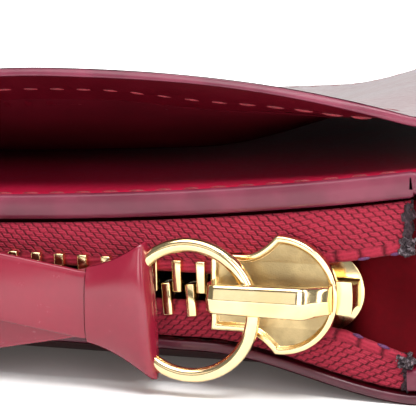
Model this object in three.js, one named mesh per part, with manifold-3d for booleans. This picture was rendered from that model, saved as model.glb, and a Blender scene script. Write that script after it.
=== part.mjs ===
// A zip around wallet lying shut on a table, in millimetres.
// +Z is up, the zip's end faces -Y and the spine is at +X.
// The origin is on the flat underside of the base leaf, midway along the wallet's depth.
import * as THREE from "three";
import { mergeVertices } from "three/addons/utils/BufferGeometryUtils.js";
import Module from "manifold-3d";

const wasm = await Module();
wasm.setup();

// ---------- driving dimensions ----------
const COVER_LENGTH = 98; // from the spine line to the free edge, along X
const COVER_DEPTH = 90; // from the front edge to the back edge, along Y
const CORNER_RADIUS = 10; // free corners of every cover
const OUTER_LEATHER = 1.0; // base, spine and flap leather
const LINING = 0.6; // linings and card pockets
const LID_LEATHER = 2.6; // turned-edge leaf over the compartment
const INNER_SPINE_WALL = 2.2;
const GUSSET_WALL = 0.9;
const GAP = 0.3; // clearance between pieces that lie on each other
const SPINE_LINE_X = 41; // where base and flap pass into the round of the spine
const SPINE_OVER_LID = 5.4; // room between the lid and the outside of the spine
const CREST_RISE = 3.7; // how much the flap arches above the spine
const FLAP_CURL_DEPTH = 32; // how far back from the front edge the flap is curled up
const SETTLE_LENGTH = 30; // how far from the spine the flap comes down onto the lid
const FLAP_LINING_GAP = 0.6; // more than GAP, because the flap is curved both ways
const LID_OVER_ZIP = 3.8; // room between the teeth and the lid at its free edge
const LID_RISE = 5.2; // how much higher the lid is at the spine
const EDGE_LIFT = 3.9; // how far the base's front edge curls off the table

const ZIP_HEIGHT = 10.5; // centre of the chain over the table
const ZIP_INSET = 0.8; // from a cover's edge to the tape's middle
const TAPE_THICKNESS = 0.6;
const TAPE_TO_CENTRE = 1.3; // tape edge to the chain's centre line
const TOOTH_PITCH = 2.54; // a number five chain
const TOOTH_REACH = 1.1; // tooth foot to the chain's centre line, inside the tape's edge
const TOOTH_OVERLAP = 0.05; // tooth tip past the centre line, between the other row's teeth
const TOOTH_THICKNESS = 2.3;
const TOOTH_WIDTH = 0.85;
const SLIDER_TAIL_X = 21.2; // end of the slider that takes the closed chain
const SLIDER_LENGTH = 13.1;
const SLIDER_NOSE_RADIUS = 6.0;
const SLIDER_TAIL_HALF = 3.9;
const SLIDER_TAIL_LENGTH = 3.4; // straight part of the tail, before the shoulders
const SLIDER_SHOULDER_DEG = 86; // where the shoulders meet the nose, from the tail's direction
const INNER_PLATE_SHRINK = 1.35; // lets the inner plate pass under the lid's leather
const SLIDER_THROAT = 1.6; // the teeth start this far inside the slider
const THROAT_SPREAD = 2.0; // how far each tape's edge has parted at the slider's nose
const THROAT_LENGTH = 8.5; // over which the tapes part, up to the nose
const SPREAD_SLOPE_UP = 0.2; // rise of the upper tape's edge past the nose
const SPREAD_SLOPE_DOWN = 0.34; // fall of the lower tape's edge past the nose
const FIRST_TOOTH = 1.76; // from the row's start to half a pitch before its first tooth
const SLIDER_PLATE = 0.9;
const SLIDER_CLEARANCE = 0.45; // teeth to each plate
const FLANGE_SLOT = 1.1; // between the flanges, for one tape
const BRIDGE_HALF = 1.5; // half the width of the bridge
const BRIDGE_WALL = 0.8;
const BRIDGE_CLEARANCE = 0.75; // ring to the inside of the bridge
const RING_OFF_PLATE = 1.2; // ring to the slider's outer plate

const RING_OUTER_RADIUS = 7.3;
const RING_WIRE = 1.5;
const RING_CENTRE_Z = 8.9;
const CAP_REACH = 7.4; // from the cap's mouth to its rim
const CAP_WALL = 1.0;
const CAP_BORE_CLEARANCE = 0.25;
const CAP_MOUTH_HALF = 3.85;
const CAP_RIM_HALF = 6.8;
const STRAP_LENGTH = 42;
const STRAP_WIDTH = 7.0;
const STRAP_THICKNESS = 0.9;

// ---------- places worked out from them ----------
const FREE_X = SPINE_LINE_X - COVER_LENGTH;
const HALF_DEPTH = COVER_DEPTH / 2;
const CHAIN_Y = HALF_DEPTH - ZIP_INSET;
const LID_FREE_UNDERSIDE = ZIP_HEIGHT + TOOTH_REACH + LID_OVER_ZIP;
const LID_ROOT_UNDERSIDE = LID_FREE_UNDERSIDE + LID_RISE;
const FLAP_ROOT_HEIGHT = LID_ROOT_UNDERSIDE + LID_LEATHER + SPINE_OVER_LID;
const FLAP_CREST_HEIGHT = FLAP_ROOT_HEIGHT + CREST_RISE;
const FLAP_FREE_HEIGHT =
  LID_FREE_UNDERSIDE + LID_LEATHER + OUTER_LEATHER + LINING + FLAP_LINING_GAP + 2 * GAP;
const SPINE_RADIUS = FLAP_ROOT_HEIGHT / 2;
const SLIDER_NOSE_X = SLIDER_TAIL_X + SLIDER_LENGTH;
const PLATE_INNER = TOOTH_THICKNESS / 2 + SLIDER_CLEARANCE; // plate face from the tape's middle
const PLATE_OUTER_Y = -CHAIN_Y - PLATE_INNER - SLIDER_PLATE;
const WIRE_RADIUS = RING_WIRE / 2;
const RING_RADIUS = RING_OUTER_RADIUS - WIRE_RADIUS; // centre line of the wire
const RING_Y = PLATE_OUTER_Y - RING_OFF_PLATE - WIRE_RADIUS;
const BRIDGE_Y = RING_Y - WIRE_RADIUS - BRIDGE_CLEARANCE - BRIDGE_WALL;
const BRIDGE_FROM_X = SLIDER_TAIL_X + 0.6;
const BRIDGE_TO_X = SLIDER_NOSE_X - 1.6;
const RING_PIVOT_X = BRIDGE_FROM_X + BRIDGE_WALL + 3.4;
const RING_CENTRE_X = RING_PIVOT_X - Math.sqrt(RING_RADIUS ** 2 - (ZIP_HEIGHT - RING_CENTRE_Z) ** 2);
const CAP_RIM_X = RING_CENTRE_X - RING_RADIUS + 2.6;
const CAP_MOUTH_X = CAP_RIM_X - CAP_REACH;

// ---------- materials ----------
const leather = (color, roughness = 0.35) => new THREE.MeshStandardMaterial({ color, roughness });
const OUTER = leather(0x701028);
const LID = leather(0xa81c38, 0.25);
const LINED = leather(0x5a0c1c, 0.6);
const TAPE = leather(0xa02038, 0.9);
const STRAP = leather(0xa83848, 0.4);
const GOLD = new THREE.MeshStandardMaterial({ color: 0xdcb46a, roughness: 0.2, metalness: 1 });

const model = new THREE.Group();
function add(name, geometry, material) {
  const mesh = new THREE.Mesh(geometry, material);
  mesh.name = name;
  model.add(mesh);
}

// ---------- shared helpers ----------
const smooth = (t) => {
  const c = Math.min(1, Math.max(0, t));
  return c * c * (3 - 2 * c);
};

// A box of nu x nv x nw cells whose corners are placed by place(u, v, w), each from 0 to 1.
function warped(nu, nv, nw, place) {
  const geometry = new THREE.BoxGeometry(1, 1, 1, nu, nv, nw);
  geometry.deleteAttribute("normal");
  geometry.deleteAttribute("uv");
  const merged = mergeVertices(geometry, 1e-5);
  const position = merged.attributes.position;
  for (let i = 0; i < position.count; i += 1) {
    const [x, y, z] = place(position.getX(i) + 0.5, position.getY(i) + 0.5, position.getZ(i) + 0.5);
    position.setXYZ(i, x, y, z);
  }
  return outward(merged);
}

// Turns the faces round where the warp has mirrored the shape.
function outward(geometry) {
  const index = geometry.index.array;
  const position = geometry.attributes.position;
  const corner = (i) => new THREE.Vector3().fromBufferAttribute(position, index[i]);
  let volume = 0;
  for (let i = 0; i < index.length; i += 3) {
    volume += corner(i).dot(corner(i + 1).cross(corner(i + 2)));
  }
  if (volume < 0) {
    for (let i = 0; i < index.length; i += 3) {
      [index[i], index[i + 1]] = [index[i + 1], index[i]];
    }
  }
  return geometry;
}

function solid(geometry) {
  const bare = geometry.index ? geometry.clone() : geometry;
  bare.deleteAttribute("normal");
  bare.deleteAttribute("uv");
  const merged = mergeVertices(bare, 1e-4);
  return new wasm.Manifold(
    new wasm.Mesh({
      numProp: 3,
      vertProperties: new Float32Array(merged.attributes.position.array),
      triVerts: new Uint32Array(merged.index.array),
    }),
  );
}

function geometryOf(manifold) {
  const mesh = manifold.getMesh();
  const geometry = new THREE.BufferGeometry();
  geometry.setAttribute("position", new THREE.BufferAttribute(new Float32Array(mesh.vertProperties), 3));
  geometry.setIndex(new THREE.BufferAttribute(new Uint32Array(mesh.triVerts), 1));
  return geometry;
}

// An outline in X and Z, given thickness along Y from y0 to y1.
function slab(shape, y0, y1, curveSegments = 8) {
  const geometry = new THREE.ExtrudeGeometry(shape, { depth: y1 - y0, bevelEnabled: false, curveSegments });
  geometry.rotateX(Math.PI / 2);
  geometry.translate(0, y1, 0);
  return geometry;
}

function block(x0, x1, y0, y1, z0, z1) {
  const geometry = new THREE.BoxGeometry(x1 - x0, y1 - y0, z1 - z0);
  geometry.translate((x0 + x1) / 2, (y0 + y1) / 2, (z0 + z1) / 2);
  return geometry;
}

// ---------- cover surfaces ----------
// How far the base's leather is off the table: only its front edge curls up.
function baseLift(x, y) {
  const alongFront = smooth((SPINE_LINE_X + 1 - x) / 22) * smooth((x - FREE_X - 4) / 24);
  const towardsEdge = smooth((-y - (HALF_DEPTH - 15)) / 15);
  return EDGE_LIFT * alongFront * towardsEdge;
}

const fraction = (x) => Math.min(1, Math.max(0, (x - FREE_X) / COVER_LENGTH));
const lidUnderside = (x) =>
  LID_FREE_UNDERSIDE + (LID_ROOT_UNDERSIDE - LID_FREE_UNDERSIDE) * fraction(x) ** 3;

// The flap's front edge springs up in an arch; behind it, the flap settles onto the lid.
const CREST_AT = 0.64; // share of the cover's length at which the front edge is highest
function flapFrontTop(x) {
  const t = fraction(x);
  if (t > CREST_AT) {
    const s = (t - CREST_AT) / (1 - CREST_AT);
    return FLAP_CREST_HEIGHT - (FLAP_CREST_HEIGHT - FLAP_ROOT_HEIGHT) * s ** 2.4;
  }
  const s = (CREST_AT - t) / CREST_AT;
  const fall = 0.5 - 0.5 * Math.cos(Math.PI * s ** 1.15);
  return FLAP_CREST_HEIGHT - (FLAP_CREST_HEIGHT - FLAP_FREE_HEIGHT) * fall;
}
function flapTop(x, y) {
  const overLid = FLAP_FREE_HEIGHT - LID_FREE_UNDERSIDE;
  const onLid = lidUnderside(x) + overLid;
  const atSpine = smooth((x - SPINE_LINE_X + SETTLE_LENGTH) / SETTLE_LENGTH);
  const settled = onLid + (FLAP_ROOT_HEIGHT - onLid) * atSpine;
  const curl = Math.min(1, Math.max(0, 1 - (y + HALF_DEPTH) / FLAP_CURL_DEPTH)) ** 2;
  return settled + (flapFrontTop(x) - settled) * curl;
}

// A leaf between two surfaces, with its free corners rounded.
function leaf({
  from = FREE_X, to = SPINE_LINE_X, inset = 0, radius = CORNER_RADIUS, bottom, top, ys, nx = 12,
}) {
  const cornerSteps = 4;
  const half = HALF_DEPTH - inset;
  const stations = [];
  for (let i = 0; i <= cornerSteps; i += 1) {
    const angle = (i / cornerSteps) * (Math.PI / 2);
    stations.push({ x: from + radius * (1 - Math.cos(angle)), half: half - radius * (1 - Math.sin(angle)) });
  }
  for (let i = 1; i <= nx; i += 1) {
    stations.push({ x: from + radius + ((to - from - radius) * i) / nx, half });
  }
  const n = stations.length - 1;
  return warped(n, ys.length - 1, 1, (u, v, w) => {
    const { x, half: h } = stations[Math.round(u * n)];
    const y = ys[Math.round(v * (ys.length - 1))] * h;
    return [x, y, w < 0.5 ? bottom(x, y) : top(x, y)];
  });
}

const PLAIN_YS = [-1, 0, 1];
const ARCHED_YS = [-1, -0.9, -0.78, -0.64, -0.48, -0.28, 1];
const CURLED_YS = [-1, -0.93, -0.85, -0.76, -0.66, 0, 0.66, 1];

// A round leaf bent about an axis along Y, from one angle to another.
function bentLeaf(x, z, outer, wall, startDeg, endDeg, steps = 8) {
  return warped(steps, 1, 1, (u, v, w) => {
    const angle = THREE.MathUtils.degToRad(startDeg + (endDeg - startDeg) * u);
    const r = outer - wall * (1 - w);
    return [x + r * Math.cos(angle), (v * 2 - 1) * HALF_DEPTH, z + r * Math.sin(angle)];
  });
}

// ---------- base ----------
const baseTop = (x, y) => baseLift(x, y) + OUTER_LEATHER;
add("base_leather", leaf({ bottom: baseLift, top: baseTop, ys: CURLED_YS, nx: 14 }), OUTER);

const LINING_INSET = 4;
function flatLeaf(from, to, inset, z0, thickness, cover = () => 0, nx = 2) {
  return leaf({
    from,
    to,
    inset,
    radius: CORNER_RADIUS - 4,
    bottom: (x) => cover(x) + z0,
    top: (x) => cover(x) + z0 + thickness,
    ys: PLAIN_YS,
    nx,
  });
}
// The base's inside pieces stop where its front edge starts to curl.
const BASE_INSET = 16;
const POCKET_STEP = 10; // each pocket's mouth is this far behind the one under it
const POCKET_END = 8; // from a pocket's closed end to the spine line
const DIVIDER_WALL = 0.8;
const DIVIDER_ROOM = 0.4; // over the topmost pocket
let baseStack = OUTER_LEATHER + GAP;
const baseLayer = (name, from, to, thickness, material) => {
  add(name, flatLeaf(from, to, BASE_INSET, baseStack, thickness), material);
  baseStack += thickness + GAP;
};
baseLayer("base_lining", FREE_X + LINING_INSET, SPINE_LINE_X - 4, LINING, LINED);
baseLayer("base_card_pocket_1", FREE_X + POCKET_STEP, SPINE_LINE_X - POCKET_END, LINING, LID);
baseLayer("base_card_pocket_2", FREE_X + 2 * POCKET_STEP, SPINE_LINE_X - POCKET_END, LINING, LID);
add(
  "divider",
  flatLeaf(FREE_X + 8, SPINE_LINE_X - 6, BASE_INSET, baseStack + DIVIDER_ROOM, DIVIDER_WALL),
  LINED,
);

// ---------- spine ----------
const SPINE_GAP_DEG = 1.2;
add(
  "spine_lower_leather",
  bentLeaf(SPINE_LINE_X, SPINE_RADIUS, SPINE_RADIUS, OUTER_LEATHER, -90 + SPINE_GAP_DEG, -SPINE_GAP_DEG / 2),
  OUTER,
);
add(
  "spine_upper_leather",
  bentLeaf(SPINE_LINE_X, SPINE_RADIUS, SPINE_RADIUS, OUTER_LEATHER, SPINE_GAP_DEG / 2, 90 - SPINE_GAP_DEG),
  OUTER,
);
const lidRootTop = LID_ROOT_UNDERSIDE + LID_LEATHER;
const innerSpineFoot = OUTER_LEATHER + GAP;
const INNER_SPINE_RADIUS = (lidRootTop - innerSpineFoot) / 2;
const innerSpineZ = innerSpineFoot + INNER_SPINE_RADIUS;
add(
  "inner_spine",
  bentLeaf(SPINE_LINE_X, innerSpineZ, INNER_SPINE_RADIUS, INNER_SPINE_WALL, -88, 88, 12),
  LID,
);

// A gusset closes each end of the spine: a wall that bellies inwards between the tape's cut ends.
const GUSSET_BELLY = 3;
const GUSSET_HEIGHT_SHARE = 0.96; // of the round that it closes
const GUSSET_ROOT_BELLY = 0.35; // share of the belly at the slider's end
const GUSSET_FROM_X = SLIDER_NOSE_X + 1.4;
const gussetOuterRadius = INNER_SPINE_RADIUS - INNER_SPINE_WALL - GAP;
function gusset(side) {
  return warped(6, 8, 1, (u, v, w) => {
    const across = v * 2 - 1;
    const fullRise = gussetOuterRadius * across * GUSSET_HEIGHT_SHARE;
    const reach = SPINE_LINE_X + Math.sqrt(gussetOuterRadius ** 2 - fullRise ** 2);
    const x = GUSSET_FROM_X + (reach - GUSSET_FROM_X) * u;
    const underLid = (lidUnderside(x) - 2 * GAP - innerSpineZ) * Math.max(0, across);
    const rise = across > 0 ? Math.min(fullRise, underLid) : fullRise;
    const belly = GUSSET_BELLY * (1 - across ** 2) * Math.min(1, GUSSET_ROOT_BELLY + u);
    const y = CHAIN_Y - TAPE_THICKNESS / 2 - GAP - belly - GUSSET_WALL * (1 - w);
    return [x, side * y, innerSpineZ + rise];
  });
}
add("gusset_front", gusset(-1), OUTER);
add("gusset_back", gusset(1), OUTER);

// ---------- lid ----------
add(
  "lid_leather",
  leaf({ bottom: lidUnderside, top: (x) => lidUnderside(x) + LID_LEATHER, ys: PLAIN_YS, nx: 12 }),
  LID,
);
let lidStack = -GAP;
const lidLayer = (name, from, to, material) => {
  lidStack -= LINING;
  add(name, flatLeaf(from, to, LINING_INSET, lidStack, LINING, lidUnderside, 8), material);
  lidStack -= GAP;
};
lidLayer("lid_lining", FREE_X + LINING_INSET, SPINE_LINE_X - 8, LINED);
lidLayer("lid_card_pocket_1", FREE_X + POCKET_STEP, SPINE_LINE_X - POCKET_END - 4, LID);
lidLayer("lid_card_pocket_2", FREE_X + 2 * POCKET_STEP, SPINE_LINE_X - POCKET_END - 4, LID);

// ---------- flap ----------
const flapUnderside = (x, y) => flapTop(x, y) - OUTER_LEATHER;
add("flap_leather", leaf({ bottom: flapUnderside, top: flapTop, ys: ARCHED_YS, nx: 16 }), OUTER);
add(
  "flap_lining",
  leaf({
    from: FREE_X + LINING_INSET,
    to: SPINE_LINE_X - 1,
    inset: LINING_INSET,
    radius: CORNER_RADIUS - 4,
    bottom: (x, y) => flapUnderside(x, y) - FLAP_LINING_GAP - LINING,
    top: (x, y) => flapUnderside(x, y) - FLAP_LINING_GAP,
    ys: ARCHED_YS,
    nx: 16,
  }),
  LINED,
);

// ---------- zip ----------
// The zip's route in plan: along the front, round the free end and along the back.
const ROUTE_RADIUS = CORNER_RADIUS - ZIP_INSET;
const ROUTE_FREE_X = FREE_X + ZIP_INSET;
function route(endX) {
  const path = new THREE.CurvePath();
  const frontStart = new THREE.Vector3(endX, -CHAIN_Y, 0);
  const point = (x, y) => new THREE.Vector3(x, y, 0);
  const straight = (a, b) => path.add(new THREE.LineCurve3(a, b));
  const corner = (cx, cy, startDeg) => {
    const curve = new THREE.EllipseCurve(
      cx, cy, ROUTE_RADIUS, ROUTE_RADIUS,
      THREE.MathUtils.degToRad(startDeg), THREE.MathUtils.degToRad(startDeg - 90), true,
    );
    curve.getPoint = function (t) {
      const angle = this.aStartAngle + (this.aEndAngle - this.aStartAngle) * t;
      return point(cx + ROUTE_RADIUS * Math.cos(angle), cy + ROUTE_RADIUS * Math.sin(angle));
    };
    path.add(curve);
  };
  const inX = ROUTE_FREE_X + ROUTE_RADIUS;
  const inY = CHAIN_Y - ROUTE_RADIUS;
  straight(frontStart, point(inX, -CHAIN_Y));
  corner(inX, -inY, 270);
  straight(point(ROUTE_FREE_X, -inY), point(ROUTE_FREE_X, inY));
  corner(inX, inY, 180);
  straight(point(inX, CHAIN_Y), point(endX, CHAIN_Y));
  return path;
}

// Length stations along a route: close in the corners, sparse on the straights.
function stationsAlong(path, straightSteps, cornerSteps) {
  const lengths = [0, ...path.getCurveLengths()];
  const stations = [];
  path.curves.forEach((curve, i) => {
    const steps = i % 2 === 1 ? cornerSteps : straightSteps;
    for (let k = 0; k < steps; k += 1) {
      stations.push(lengths[i] + ((lengths[i + 1] - lengths[i]) * k) / steps);
    }
  });
  stations.push(lengths.at(-1));
  return stations;
}

function frameAt(path, length) {
  const total = path.getLength();
  const point = path.getPoint(Math.min(1, length / total));
  const before = path.getPoint(Math.max(0, length - 0.01) / total);
  const after = path.getPoint(Math.min(1, (length + 0.01) / total));
  const along = after.sub(before).normalize();
  return { point, along, outwards: new THREE.Vector3(along.y, -along.x, 0).negate() };
}

// A tape stands on edge along the route, between two heights given at each place.
function tape(low, high) {
  const path = route(SPINE_LINE_X);
  const stations = stationsAlong(path, 10, 4);
  return warped(stations.length - 1, 1, 1, (u, v, w) => {
    const { point, outwards } = frameAt(path, stations[Math.round(u * (stations.length - 1))]);
    const p = point.clone().addScaledVector(outwards, (w - 0.5) * TAPE_THICKNESS);
    return [p.x, p.y, v < 0.5 ? low(point.x, point.y) : high(point.x, point.y)];
  });
}
const tapeInset = 1; // a tape's hidden edge is measured this far inside the cover's edge
const throatX = SLIDER_NOSE_X - THROAT_LENGTH;
// How far a tape's edge is from the chain's centre line: the pair parts inside the slider.
function tapeEdge(x, y, slope) {
  if (y > 0) return TAPE_TO_CENTRE;
  const parted = THROAT_SPREAD * smooth((x - throatX) / THROAT_LENGTH);
  return TAPE_TO_CENTRE + parted + slope * Math.max(0, x - SLIDER_NOSE_X);
}
const lowerTapeFoot = (x, y) => baseLift(x, y < 0 ? y - tapeInset : y) + OUTER_LEATHER + GAP;
add("lower_zip_tape", tape(lowerTapeFoot, (x, y) => ZIP_HEIGHT - tapeEdge(x, y, SPREAD_SLOPE_DOWN)), TAPE);
const upperTapeFoot = (x, y) => ZIP_HEIGHT + tapeEdge(x, y, SPREAD_SLOPE_UP);
add("upper_zip_tape", tape(upperTapeFoot, (x) => lidUnderside(x) - GAP), TAPE);

// A row of teeth is one comb: a bead inside the tape's edge, with a tooth at each pitch.
// The bead is lowest midway between two teeth, where the other row's tooth comes in.
const BEAD_NEAR = 1.0;
const BEAD_HALF = 0.42;
function comb(side, offset) {
  const path = route(SLIDER_TAIL_X + SLIDER_THROAT);
  const total = path.getLength();
  const count = Math.floor((total - offset) / TOOTH_PITCH);
  const sections = [[0, false]];
  for (let i = 0; i < count; i += 1) {
    const middle = offset + (i + 0.5) * TOOTH_PITCH;
    sections.push([middle - TOOTH_WIDTH / 2, true], [middle + TOOTH_WIDTH / 2, true]);
    sections.push([Math.min(total, middle + TOOTH_PITCH / 2), false]);
  }
  return warped(sections.length - 1, 1, 1, (u, v, w) => {
    const [length, isTooth] = sections[Math.round(u * (sections.length - 1))];
    const { point, outwards } = frameAt(path, length);
    const half = isTooth ? TOOTH_THICKNESS / 2 : BEAD_HALF;
    const near = isTooth ? -TOOTH_OVERLAP : BEAD_NEAR;
    const p = point.clone().addScaledVector(outwards, (w * 2 - 1) * half);
    return [p.x, p.y, ZIP_HEIGHT + side * (v < 0.5 ? near : TOOTH_REACH)];
  });
}
add("upper_zip_teeth", comb(1, FIRST_TOOTH), GOLD);
add("lower_zip_teeth", comb(-1, FIRST_TOOTH - TOOTH_PITCH / 2), GOLD);

// A metal stop closes the far end of the zip, past the last tooth at the back.
const STOP_LENGTH = 2.4;
const stopX = SLIDER_TAIL_X + SLIDER_THROAT + GAP;
add(
  "zip_end_stop",
  block(
    stopX, stopX + STOP_LENGTH,
    CHAIN_Y - TOOTH_THICKNESS / 2, CHAIN_Y + TOOTH_THICKNESS / 2,
    ZIP_HEIGHT - TOOTH_REACH, ZIP_HEIGHT + TOOTH_REACH,
  ),
  GOLD,
);

// ---------- slider ----------
// The plate's outline: square tail, waisted shoulders and a round nose.
function plateOutline(shrink) {
  const tail = SLIDER_TAIL_HALF - shrink;
  const radius = SLIDER_NOSE_RADIUS - shrink;
  const noseX = SLIDER_NOSE_X - SLIDER_NOSE_RADIUS;
  const waistX = SLIDER_TAIL_X + SLIDER_TAIL_LENGTH - shrink;
  const meet = Math.PI - THREE.MathUtils.degToRad(SLIDER_SHOULDER_DEG);
  const shoulder = new THREE.Vector2(noseX + radius * Math.cos(meet), radius * Math.sin(meet));
  const bendX = (waistX + shoulder.x) / 2;
  const shape = new THREE.Shape();
  shape.moveTo(SLIDER_TAIL_X, -tail);
  shape.lineTo(waistX, -tail);
  shape.quadraticCurveTo(bendX, -tail, shoulder.x, -shoulder.y);
  shape.absarc(noseX, 0, radius, -meet, meet, false);
  shape.quadraticCurveTo(bendX, tail, waistX, tail);
  shape.lineTo(SLIDER_TAIL_X, tail);
  shape.closePath();
  return shape;
}

// slab() lays an outline's second axis along -Z, which these symmetric outlines allow.
const raised = (geometry, height = ZIP_HEIGHT) => geometry.translate(0, 0, height);
const outerPlate = slab(plateOutline(0), PLATE_OUTER_Y, PLATE_OUTER_Y + SLIDER_PLATE);
const innerPlateY = -CHAIN_Y + PLATE_INNER;
const innerPlate = slab(plateOutline(INNER_PLATE_SHRINK), innerPlateY, innerPlateY + SLIDER_PLATE);
const wedge = new THREE.Shape();
const WEDGE_HALF = 0.95;
const WEDGE_LENGTH = 4.7;
const wedgeEndX = SLIDER_NOSE_X - INNER_PLATE_SHRINK;
wedge.moveTo(wedgeEndX - WEDGE_LENGTH, 0);
wedge.lineTo(wedgeEndX - WEDGE_LENGTH / 2, -WEDGE_HALF);
wedge.lineTo(wedgeEndX, -WEDGE_HALF);
wedge.lineTo(wedgeEndX, WEDGE_HALF);
wedge.lineTo(wedgeEndX - WEDGE_LENGTH / 2, WEDGE_HALF);
wedge.closePath();
let casting = solid(raised(outerPlate))
  .add(solid(raised(innerPlate)))
  .add(solid(raised(slab(wedge, PLATE_OUTER_Y + 0.3, innerPlateY + 0.3))));
const FLANGE_WALL = 0.6;
const flangeDepth = PLATE_INNER - FLANGE_SLOT / 2;
for (const side of [-1, 1]) {
  const farEdge = ZIP_HEIGHT + side * SLIDER_TAIL_HALF;
  const nearEdge = farEdge - side * FLANGE_WALL;
  const spanX = [SLIDER_TAIL_X + 0.2, SLIDER_TAIL_X + 4];
  const low = Math.min(farEdge, nearEdge);
  const faceY = -CHAIN_Y - PLATE_INNER;
  casting = casting.add(solid(block(...spanX, faceY - 0.3, faceY + flangeDepth, low, low + FLANGE_WALL)));
}
add("slider_body", geometryOf(casting), GOLD);

// The bridge is a strap that stands on the outer plate at both ends, with room under it for the ring.
const bridgeBack = PLATE_OUTER_Y - GAP;
const bridgeLeg = (x) => solid(block(x, x + BRIDGE_WALL, BRIDGE_Y, bridgeBack, -BRIDGE_HALF, BRIDGE_HALF));
const bridge = solid(
  block(BRIDGE_FROM_X, BRIDGE_TO_X, BRIDGE_Y, BRIDGE_Y + BRIDGE_WALL, -BRIDGE_HALF, BRIDGE_HALF),
)
  .add(bridgeLeg(BRIDGE_FROM_X))
  .add(bridgeLeg(BRIDGE_TO_X - BRIDGE_WALL));
add("slider_bridge", raised(geometryOf(bridge)), GOLD);

// ---------- pull ring ----------
const ring = new THREE.TorusGeometry(RING_RADIUS, WIRE_RADIUS, 10, 40);
ring.rotateX(Math.PI / 2);
ring.translate(RING_CENTRE_X, RING_Y, RING_CENTRE_Z);
add("pull_ring", ring, GOLD);

// ---------- leather cap over the ring, and its straps ----------
const capHalfY = WIRE_RADIUS + CAP_BORE_CLEARANCE + CAP_WALL;
const capShape = new THREE.Shape();
capShape.moveTo(CAP_MOUTH_X, -CAP_MOUTH_HALF);
capShape.bezierCurveTo(
  CAP_MOUTH_X + 3, -CAP_MOUTH_HALF, CAP_MOUTH_X + 4, -CAP_RIM_HALF, CAP_RIM_X, -CAP_RIM_HALF,
);
capShape.lineTo(CAP_RIM_X, CAP_RIM_HALF);
capShape.bezierCurveTo(
  CAP_MOUTH_X + 4, CAP_RIM_HALF, CAP_MOUTH_X + 3, CAP_MOUTH_HALF, CAP_MOUTH_X, CAP_MOUTH_HALF,
);
capShape.closePath();
const bore = new THREE.TorusGeometry(RING_RADIUS, WIRE_RADIUS + CAP_BORE_CLEARANCE, 10, 40);
bore.rotateX(Math.PI / 2);
bore.translate(RING_CENTRE_X, RING_Y, RING_CENTRE_Z);
const capSolid = solid(raised(slab(capShape, RING_Y - capHalfY, RING_Y + capHalfY), RING_CENTRE_Z));
add("pull_cap", geometryOf(capSolid.subtract(solid(bore))), STRAP);

// Each strap leaves the cap's mouth and bends towards its own height.
const STRAP_BACK_DROP = RING_CENTRE_Z - STRAP_WIDTH / 2 - GAP; // the back strap comes down to the table
const STRAP_FRONT_RISE = 3.4;
const STRAP_TURN_RATE = 1.22; // how soon along its length a strap has reached its own height
const STRAP_CLEARANCE = 1.3; // lets the straps turn at the cap's mouth
function strap(side, y) {
  const rootX = CAP_MOUTH_X - STRAP_CLEARANCE;
  const steps = 12;
  return warped(steps, 1, 1, (u, v, w) => {
    const turned = Math.sin((Math.PI / 2) * Math.min(1, u * STRAP_TURN_RATE));
    const rise = (side > 0 ? STRAP_FRONT_RISE : -STRAP_BACK_DROP) * turned;
    return [
      rootX - STRAP_LENGTH * u,
      y + (w - 0.5) * STRAP_THICKNESS,
      RING_CENTRE_Z + rise + (v - 0.5) * STRAP_WIDTH,
    ];
  });
}
const strapOffset = STRAP_THICKNESS / 2 + GAP / 2;
add("pull_strap_front", strap(1, RING_Y - strapOffset), STRAP);
add("pull_strap_back", strap(-1, RING_Y + strapOffset), STRAP);

export default model;
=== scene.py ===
# %% [markdown]
# # A zip around wallet, looked at along its zip
#
# The wallet is leather goods and a little jewellery: painted leather edges, a woven tape, a row of
# brass teeth, and a polished slider with a ring and a leather pull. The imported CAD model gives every
# place and size. Each cell below makes one piece, says which body it moves with, and prints its size.

# %% The frame
import math

import bmesh
import bpy
from mathutils import Matrix, Vector, noise


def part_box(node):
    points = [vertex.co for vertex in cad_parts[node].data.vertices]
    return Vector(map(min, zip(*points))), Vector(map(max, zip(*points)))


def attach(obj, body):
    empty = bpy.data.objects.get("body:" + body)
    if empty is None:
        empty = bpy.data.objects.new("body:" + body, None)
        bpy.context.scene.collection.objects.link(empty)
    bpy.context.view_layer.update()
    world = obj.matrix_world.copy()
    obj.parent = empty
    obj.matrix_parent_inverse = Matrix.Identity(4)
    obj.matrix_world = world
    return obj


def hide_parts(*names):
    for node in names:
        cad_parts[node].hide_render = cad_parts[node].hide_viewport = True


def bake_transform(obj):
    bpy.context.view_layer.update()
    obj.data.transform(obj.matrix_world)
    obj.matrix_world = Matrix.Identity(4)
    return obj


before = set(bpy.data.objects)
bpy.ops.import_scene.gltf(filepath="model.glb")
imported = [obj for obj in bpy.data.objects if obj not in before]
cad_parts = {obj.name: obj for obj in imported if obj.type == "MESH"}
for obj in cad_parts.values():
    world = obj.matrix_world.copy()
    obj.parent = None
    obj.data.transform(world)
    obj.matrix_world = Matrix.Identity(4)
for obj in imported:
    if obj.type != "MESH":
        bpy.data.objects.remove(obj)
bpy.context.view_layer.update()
MM = 0.001
noise.seed_set(7)  # otherwise the burnt tape ends come out different on each run

# %% [markdown]
# ## Shader maths as Python
#
# A material is a graph of nodes. Wiring each Math node by hand hides the formula, so a small class
# wraps a socket and overloads the operators. Every other node comes from one method.

# %% Values and finishes
class Value:
    """A socket in a material. Using it in an expression adds Math nodes."""

    def __init__(self, finish, socket):
        self.finish = finish
        self.socket = socket

    def calc(self, operation, *others):
        return self.finish.node("ShaderNodeMath", {"operation": operation}, [self, *others])

    def __add__(self, other):
        return self.calc("ADD", other)

    def __sub__(self, other):
        return self.calc("SUBTRACT", other)

    def __rsub__(self, other):
        return self.finish.node("ShaderNodeMath", {"operation": "SUBTRACT"}, [other, self])

    def __mul__(self, other):
        return self.calc("MULTIPLY", other)

    def __truediv__(self, other):
        return self.calc("DIVIDE", other)

    __radd__ = __add__
    __rmul__ = __mul__


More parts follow.
